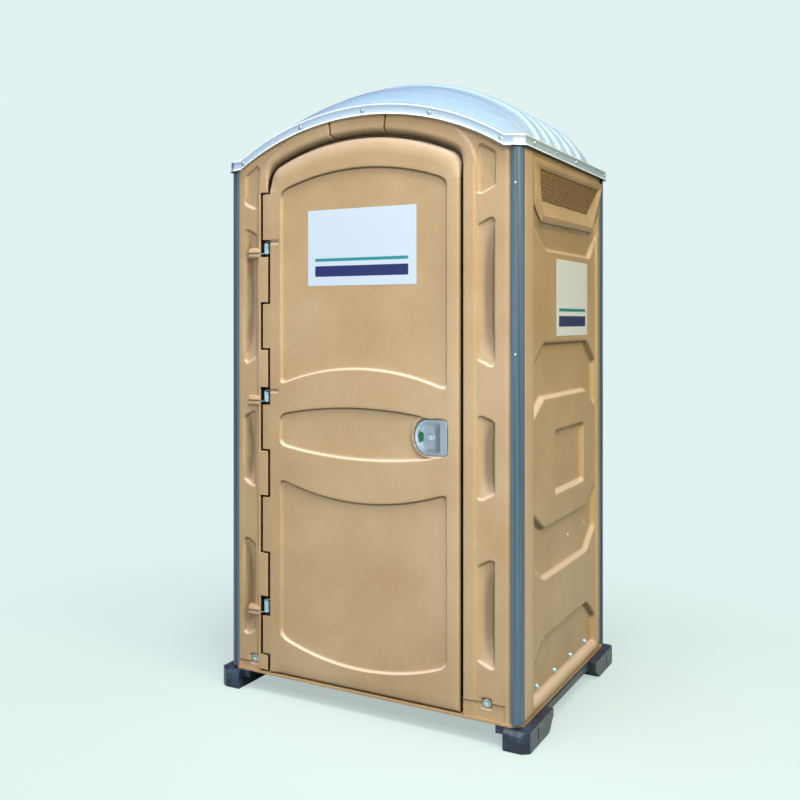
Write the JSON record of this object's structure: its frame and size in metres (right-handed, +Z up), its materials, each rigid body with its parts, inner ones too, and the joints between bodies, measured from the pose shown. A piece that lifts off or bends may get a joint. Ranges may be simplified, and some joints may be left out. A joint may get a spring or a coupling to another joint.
{
  "type": "portable toilet cabin",
  "caption": "Free-standing moulded toilet cabin with a sprung door, a turning latch, a domed roof, vents, a tank with seat and lid, and a urinal, on two skids.",
  "frame": {"origin": "on the ground, in the middle of the skids' footprint", "axes": "+X to the right seen from the door, -Y out of the door, +Z up"},
  "size_m": [1.166, 1.186, 2.311],
  "materials": {
    "shell_tan": "moulded tan plastic with a fine grain, satin",
    "liner_tan": "moulded tan plastic, plain and slightly paler",
    "roof_white": "translucent white plastic, satin gloss",
    "post_grey": "dark grey extrusion, satin",
    "skid_black": "black recycled plastic, dull",
    "screen_brown": "brown mesh, dull",
    "fitting_grey": "grey moulded plastic, satin",
    "seat_black": "black moulded plastic, satin gloss",
    "latch_metal": "die-cast, fine satin",
    "bright_steel": "zinc plated steel",
    "indicator_green": "green where the latch is free and red where it is locked"
  },
  "bodies": {
    "cabin": {"skid_right": "skid_black", "skid_left": "skid_black", "floor_pan": "shell_tan", "corner_post_front_right": "post_grey", "corner_post_front_left": "post_grey", "corner_post_back_right": "post_grey", "corner_post_back_left": "post_grey", "front_frame": "shell_tan", "strike_pin": "bright_steel", "hinge_rod": "bright_steel", "hinge_springs": "bright_steel", "side_panel_right": "shell_tan", "side_panel_left": "shell_tan", "back_panel": "shell_tan", "vent_screen_right": "screen_brown", "vent_screen_left": "screen_brown", "roof": "roof_white", "waste_tank": "fitting_grey", "tank_bench": "fitting_grey", "seat_hinge_pin": "bright_steel", "toilet_seat": "seat_black", "vent_pipe": "fitting_grey", "vent_cap": "fitting_grey", "urinal": "fitting_grey", "urinal_drain": "fitting_grey", "paper_holder": "fitting_grey", "paper_rod": "bright_steel", "roof_rivets": "bright_steel", "wall_bolts": "bright_steel", "frame_anchor_bolts": "bright_steel"},
    "door": {"door_outer_skin": "shell_tan", "door_inner_skin": "liner_tan", "latch_plate": "latch_metal"},
    "latch": {"indicator_disc": "indicator_green", "latch_spindle": "latch_metal", "latch_lever": "fitting_grey"},
    "lid": {"seat_lid": "seat_black"}
  },
  "joints": [
    {"name": "door_hinge", "type": "hinge", "parent": "cabin", "child": "door", "pos_m": [-0.398, -0.55, 1.07], "axis": [0, 0, -1], "range_deg": [0, 95], "stiffness_Nm_per_rad": 3, "springref_deg": -8.59, "deforming": ["hinge_springs"]},
    {"name": "latch_turn", "type": "hinge", "parent": "door", "child": "latch", "pos_m": [0.248, -0.54, 1.003], "axis": [0, -1, 0], "range_deg": [0, 50]},
    {"name": "lid_hinge", "type": "hinge", "parent": "cabin", "child": "lid", "pos_m": [0, 0.47, 0.573], "axis": [-1, 0, 0], "range_deg": [0, 92]}
  ]
}
